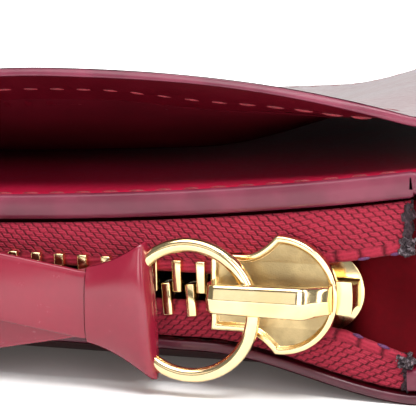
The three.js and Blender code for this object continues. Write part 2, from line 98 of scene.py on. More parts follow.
class Finish:
    """One material: a Principled shader, the nodes that feed it and what it is called."""

    def __init__(self, name, **constants):
        self.material = bpy.data.materials.new(name)
        self.material.use_nodes = True
        self.tree = self.material.node_tree
        self.shader = self.tree.nodes["Principled BSDF"]
        for socket, value in constants.items():
            self.shader.inputs[socket.replace("_", " ")].default_value = value

    def node(self, kind, settings=None, inputs=(), out=0):
        made = self.tree.nodes.new(kind)
        for setting, value in (settings or {}).items():
            setattr(made, setting, value)
        pairs = inputs.items() if isinstance(inputs, dict) else enumerate(inputs)
        for key, value in pairs:
            if isinstance(value, Value):
                self.tree.links.new(value.socket, made.inputs[key])
            else:
                made.inputs[key].default_value = value
        return Value(self, made.outputs[out])

    def feed(self, socket, value):
        self.tree.links.new(value.socket, self.shader.inputs[socket])

    def place(self):
        return self.node("ShaderNodeTexCoord", out="Object")

    def noise(self, vector, scale, detail=3.0, roughness=0.5):
        inputs = {"Vector": vector, "Scale": scale, "Detail": detail, "Roughness": roughness}
        return self.node("ShaderNodeTexNoise", {}, inputs)

    def mix(self, share, first, second):
        inputs = {0: share, 6: first, 7: second}
        return self.node("ShaderNodeMix", {"data_type": "RGBA"}, inputs, out=2)

    def step(self, value, low, high):
        settings = {"interpolation_type": "SMOOTHSTEP"}
        return self.node("ShaderNodeMapRange", settings, {"Value": value, 1: low, 2: high})

    def bump(self, height, strength, distance_mm):
        inputs = {"Strength": strength, "Distance": distance_mm * MM, "Height": height}
        self.feed("Normal", self.node("ShaderNodeBump", {}, inputs))


# %% [markdown]
# ## Leather
#
# Smooth calf has a faint grain, slow changes of colour where it was dyed and handled, and more or
# less shine. A strong shine would mirror the white room at a low angle and turn the red grey, so the
# covers get little and only the straps are waxed. A second finish is the painted edge: a thick lacquer,
# mauve where light skims it. Grain comes from cells and noise on Object coordinates, so it stays put
# as the wallet opens.

# %% Leather finishes
GRAIN_MM = 0.32  # across one cell of the grain


def leather(name, dark, light, roughness, coat, grain=0.25, shine=0.5):
    """Leather between two colours: its dye, darkened for some pieces as painted shade. Coat is its wax and
    shine its own gloss, where 0.5 is usual.
    """
    finish = Finish(name, Coat_Roughness=0.18, Specular_IOR_Level=shine)
    place = finish.place()
    tone = finish.noise(place, 90, 4.0)
    fine = finish.noise(place, 1400, 3.0)
    cells = finish.node("ShaderNodeTexVoronoi", {}, {"Vector": place, "Scale": 1 / (GRAIN_MM * MM)})
    finish.feed("Base Color", finish.mix(finish.step(tone * 0.8 + fine * 0.2, 0.3, 0.7), dark, light))
    finish.feed("Roughness", roughness + (fine - 0.5) * 0.16 + (tone - 0.5) * 0.1)
    finish.feed("Coat Weight", coat * (1.1 - tone * 0.3))
    finish.bump(cells * 0.5 + fine * 0.8 + tone * 0.6, grain, 0.05)
    return finish.material


def painted_edge(name, dark, light, roughness=0.42):
    finish = Finish(name, Coat_Roughness=0.12)
    place = finish.place()
    run = finish.noise(place, 160, 3.0)
    dust = finish.noise(place, 2600, 2.0)
    finish.feed("Base Color", finish.mix(finish.step(run, 0.35, 0.7), dark, light))
    finish.feed("Roughness", roughness + (run - 0.5) * 0.2)
    finish.feed("Coat Weight", 0.22 - dust * 0.15)
    finish.bump(run + dust * 0.12, 0.3, 0.12)
    return finish.material


# The outer leather's red is made near black. This is painted shade: its seen faces, the flap's underside
# and the base, lie in shadow.
OUTER_PAINTED_SHADE = leather(
    "outer_leather", (0.045, 0.0006, 0.003, 1), (0.065, 0.001, 0.005, 1), 0.42, 0.04, shine=0.15
)
GLOSSY = leather(
    "glossy_leather", (0.36, 0.007, 0.032, 1), (0.46, 0.011, 0.046, 1), 0.38, 0.04, grain=0.06, shine=0.1
)
STRAP = leather("strap_leather", (0.21, 0.008, 0.025, 1), (0.26, 0.012, 0.032, 1), 0.24, 0.3, grain=0.0)
# The gusset's red is made near black: partly its leather, partly painted shade of the hollow it sits in.
GUSSET_PAINTED_SHADE = leather("gusset_leather_painted_shade", (0.055, 0.0004, 0.002, 1), (0.10, 0.001, 0.004, 1), 0.8, 0.0, shine=0.05)
LINING = leather("lining_leather", (0.04, 0.0006, 0.003, 1), (0.06, 0.001, 0.005, 1), 0.85, 0.0, shine=0.05)
EDGE = painted_edge("painted_edge", (0.115, 0.010, 0.028, 1), (0.185, 0.020, 0.048, 1))
# A darker copy of the edge paint for the base's rim. This is painted shade: that rim lies low, in shadow
# under the tape.
BASE_EDGE_PAINTED_SHADE = painted_edge("edge_paint_in_painted_shade", (0.06, 0.005, 0.014, 1), (0.10, 0.010, 0.026, 1))
print("Finishes:", [finish.name for finish in (OUTER_PAINTED_SHADE, GLOSSY, STRAP, GUSSET_PAINTED_SHADE, LINING, EDGE, BASE_EDGE_PAINTED_SHADE)])

# %% [markdown]
# ## Tape, thread and metal
#
# The tape is a twill: rows of short floats, each row stepped along from the last, and one broad row
# over the cord at its edge. A point's place along and across the tape is stored on its mesh, in
# millimetres, so the yarns follow the bends. The metal is pale gold plating, bright on its rims and
# blasted in the slider's recess. Where heat has sealed the tape it is charred, or melted to a lump.

# %% Tape, thread and metal finishes
BROAD_ROW = 1.25  # mm of tape's edge that the row over its cord takes


def woven_tape(name, dark, light):
    """Rows of floats, each row stepped along from the last, with one broad row at the edge."""
    finish = Finish(name, Sheen_Weight=0.04, Sheen_Roughness=0.5, Specular_IOR_Level=0.2)
    along = finish.node("ShaderNodeAttribute", {"attribute_name": "along"}, out="Vector")
    wobble = finish.noise(finish.place(), 600, 2.0)
    fuzz = finish.noise(finish.place(), 4200, 3.0)
    run = finish.node("ShaderNodeSeparateXYZ", {}, {"Vector": along}, out="X")
    rise = finish.node("ShaderNodeSeparateXYZ", {}, {"Vector": along}, out="Y")

    def floats(row_mm, float_mm, step_mm, slope, slant_mm):
        across = (rise + run * slope + (wobble - 0.5) * 0.3) / row_mm
        part = across.calc("FRACT")
        shift = across.calc("FLOOR") * step_mm - part * slant_mm
        place = ((run + shift + (wobble - 0.5) * 0.5) / float_mm).calc("FRACT")
        ends = finish.step(place.calc("PINGPONG", 0.5), -0.06, 0.22)
        sides = finish.step((part * math.pi).calc("SINE"), -0.7, 0.8)
        strands = (part * 6 * math.pi + place * 3).calc("SINE") * 0.1
        return ends * sides * 0.8 + strands * ends + 0.12

    twill = floats(row_mm=0.5, float_mm=1.05, step_mm=0.36, slope=-0.05, slant_mm=0.42)
    over_cord = floats(row_mm=BROAD_ROW, float_mm=2.4, step_mm=0.0, slope=0.0, slant_mm=0.3)
    broad = rise.calc("LESS_THAN", BROAD_ROW)
    height = twill * (1 - broad) + over_cord * broad
    # Float tops are coloured light and the gaps between floats dark. This is painted shade of the weave,
    # with random fuzz and wobble in tone.
    painted_weave_shade_and_fuzz = finish.step(height + (fuzz - 0.5) * 0.9 + (wobble - 0.5) * 0.3, 0.0, 1.05)
    finish.feed("Base Color", finish.mix(painted_weave_shade_and_fuzz, dark, light))
    finish.feed("Roughness", 0.85 - painted_weave_shade_and_fuzz * 0.25)
    finish.bump(height + fuzz * 0.35, 0.8, 0.22)
    return finish.material


def thread(name, dark, light):
    finish = Finish(name, Roughness=0.6, Sheen_Weight=0.05)
    twist = finish.noise(finish.place(), 3000, 2.0)
    finish.feed("Base Color", finish.mix(finish.step(twist, 0.35, 0.65), dark, light))
    finish.bump(twist, 0.5, 0.05)
    return finish.material


def gold(name, colour, deep, roughness, grit):
    """Plated metal. Grit is how strongly it was blasted."""
    finish = Finish(name, Metallic=1.0)
    place = finish.place()
    haze = finish.noise(place, 260, 4.0)
    sand = finish.noise(place, 6000, 2.0)
    finish.feed("Base Color", finish.mix(finish.step(haze, 0.35, 0.7), deep, colour))
    finish.feed("Roughness", roughness + (haze - 0.5) * 0.12 + sand * grit * 0.3)
    finish.bump(sand * grit + haze * 0.15, 0.35, 0.05)
    return finish.material


def charred(name, light):
    """Burnt yarn: soot with flecks of a lighter ash."""
    finish = Finish(name)
    soot = finish.noise(finish.place(), 2400, 5.0, 0.7)
    ash = finish.step(soot, 0.45, 0.7)
    finish.feed("Base Color", finish.mix(ash, (0.016, 0.004, 0.008, 1), light))
    finish.feed("Roughness", 0.75 - ash * 0.3)
    finish.bump(soot, 1.0, 0.25)
    return finish.material


TAPE = woven_tape("woven_tape", (0.05, 0.0005, 0.004, 1), (0.31, 0.014, 0.036, 1))
THREAD = thread("stitch_thread", (0.13, 0.003, 0.009, 1), (0.24, 0.009, 0.02, 1))
MARKER = thread("marker_thread", (0.05, 0.008, 0.05, 1), (0.10, 0.015, 0.09, 1))
GOLD = gold("polished_gold", (1.0, 0.80, 0.47, 1), (0.93, 0.70, 0.36, 1), 0.13, 0.12)
GOLD_RECESS = gold("blasted_gold", (0.70, 0.54, 0.28, 1), (0.40, 0.30, 0.15, 1), 0.24, 1.3)
CHAR = charred("sealed_tape_end", (0.07, 0.02, 0.035, 1))
MELTED = charred("melted_tape_corner", (0.30, 0.24, 0.27, 1))
print("Finishes:", [finish.name for finish in (TAPE, THREAD, MARKER, GOLD, GOLD_RECESS, CHAR, MELTED)])

# %% [markdown]
# ## Helpers for making pieces
#
# Nearly every leather part is a sheet: a grid that a formula bends into place, then given thickness
# by extruding it along its own normals, with its rim rounded by a bevel. Solid parts start as a cube
# that is cut finely and moulded by a formula. Formulas speak in millimetres and the mesh is in metres.

# %% Sheets and moulded solids
def finish_mesh(name, mesh_builder, materials, body=None, replaces=(), smooth=True):
    mesh = bpy.data.meshes.new(name)
    mesh_builder.to_mesh(mesh)
    mesh_builder.free()
    mesh.transform(Matrix.Scale(MM, 4))
    for material in materials:
        mesh.materials.append(material)
    for polygon in mesh.polygons:
        polygon.use_smooth = smooth
    piece = bpy.data.objects.new(name, mesh)
    bpy.context.scene.collection.objects.link(piece)
    if smooth:
        mesh.set_sharp_from_angle(angle=math.radians(50))
    if body:
        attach(piece, body)
    if replaces:
        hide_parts(*replaces)
    size = [round(d / MM, 1) for d in piece.dimensions]
    print(f"{name}: {len(mesh.polygons)} faces, {size} mm")
    return piece


def bend_sheet(columns, rows, surface, thickness, rim=0.35, rim_steps=3, along=None, seam=None):
    """A grid bent by surface(u, v), thickened against its normals. Its rim takes material 1.

    Where seam(point) holds, the rim stays square, for a joint with another sheet.
    """
    bm = bmesh.new()
    bmesh.ops.create_grid(bm, x_segments=columns, y_segments=rows, size=0.5)
    layer = bm.verts.layers.float_vector.new("along") if along else None
    for vert in bm.verts:
        u, v = vert.co.x + 0.5, vert.co.y + 0.5
        if along:
            vert[layer] = (*along(u, v), 0)
        vert.co = surface(u, v)
    bm.normal_update()
    normals = {vert: vert.normal.copy() for vert in bm.verts}
    first = set(bm.faces)
    grown = bmesh.ops.extrude_face_region(bm, geom=bm.faces[:], use_keep_orig=True)["geom"]
    copies = [item for item in grown if isinstance(item, bmesh.types.BMVert)]
    back = {item for item in grown if isinstance(item, bmesh.types.BMFace)}
    where = {tuple(round(c, 5) for c in vert.co): normal for vert, normal in normals.items()}
    for vert in copies:
        vert.co -= where[tuple(round(c, 5) for c in vert.co)] * thickness
    sides = [face for face in bm.faces if face not in first and face not in back]
    for face in sides:
        face.material_index = 1
    bmesh.ops.recalc_face_normals(bm, faces=bm.faces[:])
    if rim:
        side_set = set(sides)
        rims = [e for e in bm.edges if sum(f in side_set for f in e.link_faces) == 1]
        if seam:
            rims = [e for e in rims if not all(seam(v.co) for v in e.verts)]
        rounded = bmesh.ops.bevel(
            bm, geom=rims, offset=abs(thickness) * rim, offset_type="OFFSET", segments=rim_steps,
            profile=0.5, affect="EDGES", material=-1,
        )
        for face in rounded["faces"]:
            face.material_index = 1
    return bm


def mould(cuts, place):
    """A cube cut finely and moved by place(x, y, z), each from -1 to 1."""
    bm = bmesh.new()
    bmesh.ops.create_cube(bm, size=2)
    bmesh.ops.subdivide_edges(bm, edges=bm.edges[:], cuts=cuts, use_grid_fill=True)
    for vert in bm.verts:
        vert.co = place(*vert.co)
    bmesh.ops.recalc_face_normals(bm, faces=bm.faces[:])
    return bm


def ease(t):
    t = min(1.0, max(0.0, t))
    return t * t * (3 - 2 * t)


def mix(a, b, t):
    return a + (b - a) * t


# %% [markdown]
# ## The wallet's curves
#
# The covers' shapes are formulas of where a point lies in plan, with sizes read from the CAD boxes:
# the lid climbs to the spine, the base's front edge curls off the table, and the flap's front edge
# springs up in an arch while the rest of it settles on the lid.

# %% Curves of the covers
def box_mm(node):
    low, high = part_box(node)
    return low / MM, high / MM


lid_low, lid_high = box_mm("lid_leather")
FREE_X, LINE_X, HALF = lid_low.x, lid_high.x, lid_high.y
CORNER = 10.0
LID_WALL = 2.6
LEATHER_WALL = 1.0
LIFT = box_mm("base_leather")[1].z - LEATHER_WALL
LID_FREE = lid_low.z
LID_ROOT = lid_high.z - LID_WALL
FLAP_ROOT = box_mm("spine_upper_leather")[1].z
FLAP_CREST = box_mm("flap_leather")[1].z
OVER_LID = 4.8  # from the lid's underside to the flap's top, where the flap has settled
LIP_DEEP, LIP_DROP = 5.0, 1.3  # the flap's front edge lips up over this depth, by this much
CREST_AT = 0.64  # share of the cover's length at which the flap is highest
CURL_DEPTH = 32.0
SETTLE = 30.0


def fraction(x):
    return min(1.0, max(0.0, (x - FREE_X) / (LINE_X - FREE_X)))


def base_lift(x, y):
    along_front = ease((LINE_X + 1 - x) / 22) * ease((x - FREE_X - 4) / 24)
    return LIFT * along_front * ease((-y - (HALF - 15)) / 15)


def lid_under(x):
    return LID_FREE + (LID_ROOT - LID_FREE) * fraction(x) ** 3


def flap_front(x):
    t = fraction(x)
    if t > CREST_AT:
        return FLAP_CREST - (FLAP_CREST - FLAP_ROOT) * ((t - CREST_AT) / (1 - CREST_AT)) ** 2.4
    s = (CREST_AT - t) / CREST_AT
    fall = 0.5 - 0.5 * math.cos(math.pi * s ** 1.15)
    return FLAP_CREST - (FLAP_CREST - LID_FREE - OVER_LID) * fall


def flap_top(x, y):
    on_lid = lid_under(x) + OVER_LID
    settled = mix(on_lid, FLAP_ROOT, ease((x - LINE_X + SETTLE) / SETTLE))
    curl = min(1.0, max(0.0, 1 - (y + HALF) / CURL_DEPTH)) ** 2
    behind_lip = 1 - max(0.0, 1 - (y + HALF) / LIP_DEEP) ** 2
    drop = LIP_DROP * behind_lip * ease((LINE_X - x) / 9) * ease((x - 8) / 14) * curl
    return mix(settled, flap_front(x), curl) - drop


CORNER_SHARE = 0.16  # of a cover's columns, spent on its rounded corners


def cover_plan(u, v, start, stop, inset=0.0, radius=CORNER):
    """Where a cover's point lies in plan: u runs to the spine and v to the back, corners rounded."""
    across, half = 2 * v - 1, HALF - inset
    if u < CORNER_SHARE:
        angle = u / CORNER_SHARE * math.pi / 2
        return start + radius * (1 - math.cos(angle)), across * (half - radius * (1 - math.sin(angle)))
    along = (u - CORNER_SHARE) / (1 - CORNER_SHARE)
    return mix(start + radius, stop, along), across * half


def front_heavy(v):
    """Moves a grid's rows towards the front edge, where the curl is."""
    return v ** 1.7


print("Lid's underside in mm:", round(LID_FREE, 2), "to", round(LID_ROOT, 2))
print("Flap's crest in mm:", round(FLAP_CREST, 1))

# %% [markdown]
# ## The outer leather
#
# One thin skin goes from the base, round the spine and over as the flap. It is made as two sheets that
# meet on the spine's outermost line, because each may bend across one joint only. One pass along the
# sheet covers both the flat leaf and its share of the round.

# %% Outer leather, lower and upper
SPINE_R = FLAP_ROOT / 2
ROUND_SHARE = 0.22  # of a sheet's columns, spent on its half of the spine


def lower_skin(u, v):
    v = front_heavy(v)
    if u < 1 - ROUND_SHARE:
        x, y = cover_plan(u / (1 - ROUND_SHARE), v, FREE_X, LINE_X)
        return x, y, base_lift(x, y)
    angle = math.radians(-90 + 90 * (u - 1 + ROUND_SHARE) / ROUND_SHARE)
    x, y = LINE_X + SPINE_R * math.cos(angle), (2 * v - 1) * HALF
    return x, y, SPINE_R + SPINE_R * math.sin(angle)


def upper_skin(u, v):
    v = front_heavy(v)
    if u < 1 - ROUND_SHARE:
        x, y = cover_plan(u / (1 - ROUND_SHARE), v, FREE_X, LINE_X)
        return x, y, flap_top(x, y)
    angle = math.radians(90 - 90 * (u - 1 + ROUND_SHARE) / ROUND_SHARE)
    x, y = LINE_X + SPINE_R * math.cos(angle), (2 * v - 1) * HALF
    return x, y, SPINE_R + SPINE_R * math.sin(angle)


def at_spine_line(point):
    return point.x > LINE_X + SPINE_R - LEATHER_WALL - 0.05


lower_sheet = bend_sheet(96, 48, lower_skin, -LEATHER_WALL, seam=at_spine_line)
outer_lower = finish_mesh(
    "outer_leather_lower", lower_sheet, [OUTER_PAINTED_SHADE, BASE_EDGE_PAINTED_SHADE],
    replaces=("base_leather", "spine_lower_leather"),
)
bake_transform(outer_lower)
upper_sheet = bend_sheet(110, 56, upper_skin, LEATHER_WALL, seam=at_spine_line)
outer_upper = finish_mesh(
    "outer_leather_upper", upper_sheet, [OUTER_PAINTED_SHADE, EDGE],
    replaces=("flap_leather", "spine_upper_leather"),
)
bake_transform(outer_upper)

# %% [markdown]
# ## The lid and the inner spine
#
# The lid is a stiff leaf with a wide painted edge. At the spine it turns down and becomes the inner
# spine, so both have the same leather and edge. They meet end to end, with square rims at the joint:
# where two solids share a face and overlap, each shades the other and the overlap turns black.

# %% Lid and inner spine
def lid_skin(u, v):
    x, y = cover_plan(u, v, FREE_X, LINE_X)
    return x, y, lid_under(x) + LID_WALL


def at_lid_root(point):
    return abs(point.x - LINE_X) < 0.3


lid_leaf = finish_mesh(
    "lid_leaf", bend_sheet(80, 40, lid_skin, LID_WALL, rim=0.22, seam=at_lid_root), [GLOSSY, EDGE], "lid",
    ("lid_leather",),
)
inner_low, inner_high = box_mm("inner_spine")
INNER_R = (inner_high.z - inner_low.z) / 2
INNER_WALL = 2.2


def inner_spine_skin(u, v):
    angle = math.radians(90 - 180 * u)
    z = inner_low.z + INNER_R + INNER_R * math.sin(angle)
    return LINE_X + INNER_R * math.cos(angle), (2 * v - 1) * HALF, z


inner_spine = finish_mesh(
    "inner_spine_leaf",
    bend_sheet(36, 12, inner_spine_skin, INNER_WALL, rim=0.22, seam=at_lid_root), [GLOSSY, EDGE],
    replaces=("inner_spine",),
)
spine_x = inner_high.x * MM
inner_foot, inner_head = (spine_x, 0, inner_low.z * MM), (spine_x, 0, inner_high.z * MM)
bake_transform(inner_spine)
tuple(inner_foot)
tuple(inner_head)

# %% [markdown]
# ## Inside: linings, card pockets and the divider
#
# None of these show while the wallet is shut, but they do once it opens. They are thin sheets on the
# surfaces that carry them. Each card pocket has a thumb notch at its open edge.

# %% Linings, pockets and divider
BASE_INSET, COVER_INSET = 16.0, 4.0
NOTCH_HALF, NOTCH_DEEP = 9.0, 0.45
POCKET_STEP = 0.9


def carried_leaf(node, material, body, surface, inset, notch=0.0, wall=0.6, short=0.0):
    """A leaf in place of a CAD node. It stops short of the node's end at the spine by short."""
    low, high = box_mm(node)

    def skin(u, v):
        x, y = cover_plan(u, v, low.x, high.x - short, inset, CORNER - 4)
        if notch:
            x += NOTCH_DEEP * notch * max(0.0, 1 - (y / notch) ** 2) * ease(1 - 2 * u)
        return x, y, surface(x, y, low, high)

    sheet = bend_sheet(40, 30, skin, wall, rim=0.3, rim_steps=2)
    return finish_mesh(node + "_leaf", sheet, [material, material], body, (node,))


def flat_top(x, y, low, high):
    return high.z


carried_leaf("base_lining", LINING, "base", flat_top, BASE_INSET)
for pocket in ("base_card_pocket_1", "base_card_pocket_2"):
    carried_leaf(pocket, GLOSSY, "base", flat_top, BASE_INSET, NOTCH_HALF)
carried_leaf("divider", LINING, "base", flat_top, BASE_INSET, wall=0.8)
for layer, (node, material) in enumerate(
    [("lid_lining", LINING), ("lid_card_pocket_1", GLOSSY), ("lid_card_pocket_2", GLOSSY)]
):
    drop = 0.3 + layer * POCKET_STEP

    def under_lid(x, y, low, high, drop=drop):
        return lid_under(x) - drop

    carried_leaf(node, material, "lid", under_lid, COVER_INSET, NOTCH_HALF if layer else 0)


def under_flap(x, y, low, high):
    return flap_top(x, y) - LEATHER_WALL - 0.03


carried_leaf("flap_lining", LINING, "flap", under_flap, COVER_INSET, wall=0.12, short=8)

# %% [markdown]
# ## Gussets
#
# A gusset closes each end of the spine. It is soft leather that bellies inwards, so it shows as a dark
# hollow between the two cut ends of the zip tape. Its colour is darkened as well, as painted shade.

# %% Gussets
GUSSET_BELLY, GUSSET_TUCK, GUSSET_REACH = 3.0, 2.8, 3.5


def gusset(side, node):
    low, high = box_mm(node)
    radius = INNER_R - INNER_WALL - 0.3
    middle = inner_low.z + INNER_R
    face = max(abs(low.y), abs(high.y))

    def skin(u, v):
        across = 2 * v - 1
        rise = radius * across * 0.96
        x = mix(low.x - GUSSET_REACH, LINE_X + math.sqrt(radius ** 2 - rise ** 2), u)
        tuck = GUSSET_TUCK * ease((low.x + 1.0 - x) / 3)
        top = min(middle + rise, lid_under(x) - 0.35)
        belly = GUSSET_BELLY * (1 - across ** 2) * min(1.0, 0.35 + u)
        return x, side * (face - belly - tuck), top

    sheet = bend_sheet(18, 24, skin, 0.8 * side, rim=0)
    piece = finish_mesh(node + "_wall", sheet, [GUSSET_PAINTED_SHADE, GUSSET_PAINTED_SHADE], replaces=(node,))
    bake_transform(piece)


gusset(-1, "gusset_front")
gusset(1, "gusset_back")

# %% [markdown]
# ## The zip's route
#
# Tapes and teeth run along the same path in plan: the front edge, round the free end and along the
# back. The path gives a point and the outward direction at any length, so each zip piece asks it.

# %% Route of the zip
tape_low, tape_high = box_mm("upper_zip_tape")
CHAIN_Y = tape_high.y - 0.3
ZIP_Z = (tape_low.z + box_mm("lower_zip_tape")[1].z) / 2
ROUTE_FREE = FREE_X + HALF - CHAIN_Y
ROUTE_R = CORNER - (HALF - CHAIN_Y)


def zip_route(start_x):
    """Returns the route's length and a function from length to (x, y, outward x, outward y, angle)."""
    straight = start_x - ROUTE_FREE - ROUTE_R
    bend = ROUTE_R * math.pi / 2
    end = 2 * (CHAIN_Y - ROUTE_R)
    turn_x, turn_y = ROUTE_FREE + ROUTE_R, CHAIN_Y - ROUTE_R

    def corner(length, centre_y, angle):
        angle -= length / ROUTE_R
        out_x, out_y = math.cos(angle), math.sin(angle)
        return turn_x + ROUTE_R * out_x, centre_y + ROUTE_R * out_y, out_x, out_y, angle

    def at(length):
        if length < straight:
            return start_x - length, -CHAIN_Y, 0.0, -1.0, -math.pi / 2
        length -= straight
        if length < bend:
            return corner(length, -turn_y, -math.pi / 2)
        length -= bend
        if length < end:
            return ROUTE_FREE, -turn_y + length, -1.0, 0.0, -math.pi
        length -= end
        if length < bend:
            return corner(length, turn_y, -math.pi)
        return turn_x + length - bend, CHAIN_Y, 0.0, 1.0, -3 * math.pi / 2

    return 2 * straight + 2 * bend + end, at


TAPE_LENGTH, along_tape = zip_route(LINE_X)
print("Zip tape runs", round(TAPE_LENGTH, 1), "mm at height", round(ZIP_Z, 2), "mm")

# %% [markdown]
# ## Zip tapes
#
# Each tape stands on edge between a cover and the teeth. Past the slider's nose the pair splays apart
# to the spine, so the gusset shows between them, and each front end is cut square and sealed by heat.
# The edge that carries the teeth is plumper than the rest, because a cord is woven into it. A few dark
# threads run along that edge where it is free of teeth.

# %% Zip tapes
TO_CENTRE = tape_low.z - ZIP_Z
TAPE_WALL = 0.6
SPLAY_FROM, THROAT_X, THROAT = 26.0, 34.5, 2.0
SPLAY_SLOPE = {1: 0.2, -1: 0.34}


def tape_edge(x, y, side):
    """Height of the tape's edge that carries the teeth: it parts inside the slider and goes on parting."""
    parted = 0.0
    if y < 0:
        parted = THROAT * ease((x - SPLAY_FROM) / (THROAT_X - SPLAY_FROM))
        parted += SPLAY_SLOPE[side] * max(0.0, x - THROAT_X)
    return ZIP_Z + side * (TO_CENTRE + parted)


def tape_hem(x, y, side):
    """Height of the tape's hidden edge."""
    if side > 0:
        return lid_under(x) - 0.3
    return base_lift(x, y - 1 if y < 0 else y) + LEATHER_WALL + 0.3


def tape_surface(side):
    def surface(u, v):
        x, y, out_x, out_y, _ = along_tape(TAPE_LENGTH * (u if side > 0 else 1 - u))
        edge, hem = tape_edge(x, y, side), tape_hem(x, y, side)
        z = mix(edge, hem, v)
        bead = 0.22 * math.exp(-((abs(z - edge) - 0.45) / 0.5) ** 2)
        wave = 0.12 * noise.noise(Vector((x * 0.35, y * 0.35, z * 0.3 + side)))
        swell = 0.55 * math.sin(math.pi * v) * ease((LINE_X - x) / 6)
        out = 0.3 + bead + wave + swell
        return x + out_x * out, y + out_y * out, z

    return surface


def tape_weave(side):
    def along(u, v):
        length = TAPE_LENGTH * (u if side > 0 else 1 - u)
        x, y, *_ = along_tape(length)
        return length, abs(tape_hem(x, y, side) - tape_edge(x, y, side)) * v

    return along


for side, node, body in ((1, "upper_zip_tape", "lid"), (-1, "lower_zip_tape", "base")):
    sheet = bend_sheet(300, 14, tape_surface(side), -TAPE_WALL, rim_steps=2, along=tape_weave(side))
    finish_mesh(node + "_woven", sheet, [TAPE, TAPE], body, (node,))


# %% Marker threads on the tape's edge
def marker_threads(name, body, side, places):
    bm = bmesh.new()
    for x, long in places:
        edge = tape_edge(x, -1, side)
        ahead = Vector((1, 0, tape_edge(x + 1, -1, side) - edge))
        lie = ahead.to_track_quat("X", "Z").to_matrix().to_4x4()
        size = Matrix.Diagonal((long / 2, 0.22, 0.17, 1))
        place = Matrix.Translation((x, -CHAIN_Y - 0.5, edge + side * 0.16))
        bmesh.ops.create_uvsphere(bm, u_segments=8, v_segments=6, radius=1, matrix=place @ lie @ size)
    finish_mesh(name, bm, [MARKER], body)


marker_threads("upper_marker_threads", "lid", 1, ((36.4, 1.3), (39.6, 1.1)))
marker_threads("lower_marker_threads", "base", -1, ((35.9, 1.2), (38.5, 1.4)))

# %% [markdown]
# ## Sealed ends of the tape
#
# Where the tape is cut, heat has melted the yarns into a dark ragged ridge with a pale lump at the
# corner. Each is a cube cut finely, pushed about by noise.

# %% Sealed tape ends
def sealed_end(name, material, body, x, y, low, high, wide, rough):
    def place(px, py, pz):
        point = Vector((x + px * wide, y + py * (0.34 + rough * 0.3), mix(low, high, (pz + 1) / 2)))
        point += noise.noise_vector(point * 2.3) * rough + noise.noise_vector(point * 5.1) * rough * 0.5
        return point

    return finish_mesh(name, mould(12, place), [material], body)


TAPE_FACE = -CHAIN_Y - 0.05
for side, body, word in ((1, "lid", "upper"), (-1, "base", "lower")):
    edge = tape_edge(LINE_X, -CHAIN_Y, side)
    hem = tape_hem(LINE_X, -CHAIN_Y, side)
    low, high = sorted((edge, hem))
    ridge = (LINE_X - 0.25, TAPE_FACE, low + 0.15, high - 0.2, 0.34, 0.45)
    sealed_end(word + "_tape_ridge", CHAR, body, *ridge)
    corner = (edge - 0.1, edge + 1.3 * side)
    lump = (LINE_X - 0.3, TAPE_FACE - 0.3, min(corner), max(corner), 0.6, 0.5)
    sealed_end(word + "_tape_lump", MELTED, body, *lump)

# %% [markdown]
# ## Zip teeth
#
# A metal tooth is a small bar bent over the tape's cord, with a rounded nose that reaches between the
# teeth of the other row. All teeth of a row are cubes placed along the route, then bevelled together.

# %% Zip teeth
PITCH = 2.54
FIRST_TOOTH = {1: 1.76, -1: 0.27}  # from the row's start to half a pitch before its first tooth
TOOTH_WIDE, TOOTH_DEEP = 1.0, 2.5
slider_low, slider_high = box_mm("slider_body")
TEETH_START = slider_low.x + 1.6
TEETH_LENGTH, along_teeth = zip_route(TEETH_START)
TOOTH_SLANT = {1: 0.0, -1: math.radians(7)}
TOOTH_SPAN = {1: (-0.55, 2.75), -1: (-0.35, 2.9)}


def tooth_row(side):
    near, far = TOOTH_SPAN[side]
    slant = Matrix.Rotation(side * TOOTH_SLANT[side], 4, "Y")
    bm = bmesh.new()
    for index in range(int((TEETH_LENGTH - FIRST_TOOTH[side]) / PITCH)):
        x, y, out_x, out_y, angle = along_teeth(FIRST_TOOTH[side] + (index + 0.5) * PITCH)
        stand = Matrix.Translation((x + out_x * 0.25, y + out_y * 0.25, ZIP_Z + side * (near + far) / 2))
        turn = Matrix.Rotation(angle + math.pi / 2, 4, "Z") @ slant
        size = Matrix.Diagonal((TOOTH_WIDE, TOOTH_DEEP, far - near, 1))
        made = bmesh.ops.create_cube(bm, size=1, matrix=stand @ turn @ size)["verts"]
        nose = [vert for vert in made if (vert.co.z - ZIP_Z) * side < (near + far) / 2]
        middle = sum((vert.co for vert in nose), Vector()) / len(nose)
        for vert in nose:
            vert.co += (middle - vert.co) * Vector((0.06, 0.2, 0))
    bmesh.ops.bevel(
        bm, geom=bm.edges[:], offset=0.14, offset_type="OFFSET", segments=2, profile=0.5,
        affect="EDGES", material=-1,
    )
    return bm


for side, word, body in ((1, "upper", "lid"), (-1, "lower", "base")):
    finish_mesh(word + "_tooth_row", tooth_row(side), [GOLD], body, (word + "_zip_teeth",))

# %% [markdown]
# ## Stitching
#
# A saddle stitch shows as short thick threads that sink into the leather at both ends. Each is a
# stretched sphere, laid by a walk round the cover's edge at a fixed pitch, a set distance inside it.

# %% Stitch rows
def edge_walk(inset, pitch, stop_x):
    """Points and directions along a cover's edge, from the spine on the front side round to the back."""
    radius = CORNER - inset
    half = HALF - inset
    start_x, turn_x = stop_x, FREE_X + CORNER
    straight, bend, end = start_x - turn_x, radius * math.pi / 2, 2 * (half - radius)
    total = 2 * straight + 2 * bend + end
    for index in range(int(total / pitch)):
        length = (index + 0.5) * pitch
        if length < straight:
            yield start_x - length, -half, math.pi
        elif length < straight + bend:
            angle = -math.pi / 2 - (length - straight) / radius
            x, y = turn_x + radius * math.cos(angle), radius - half + radius * math.sin(angle)
            yield x, y, angle - math.pi / 2
        elif length < straight + bend + end:
            yield turn_x - radius, radius - half + length - straight - bend, math.pi / 2
        elif length < straight + 2 * bend + end:
            angle = math.pi - (length - straight - bend - end) / radius
            x, y = turn_x + radius * math.cos(angle), half - radius + radius * math.sin(angle)
            yield x, y, angle - math.pi / 2
        else:
            yield turn_x + length - straight - 2 * bend - end, half, 0.0


STITCH_PITCH = 2.9


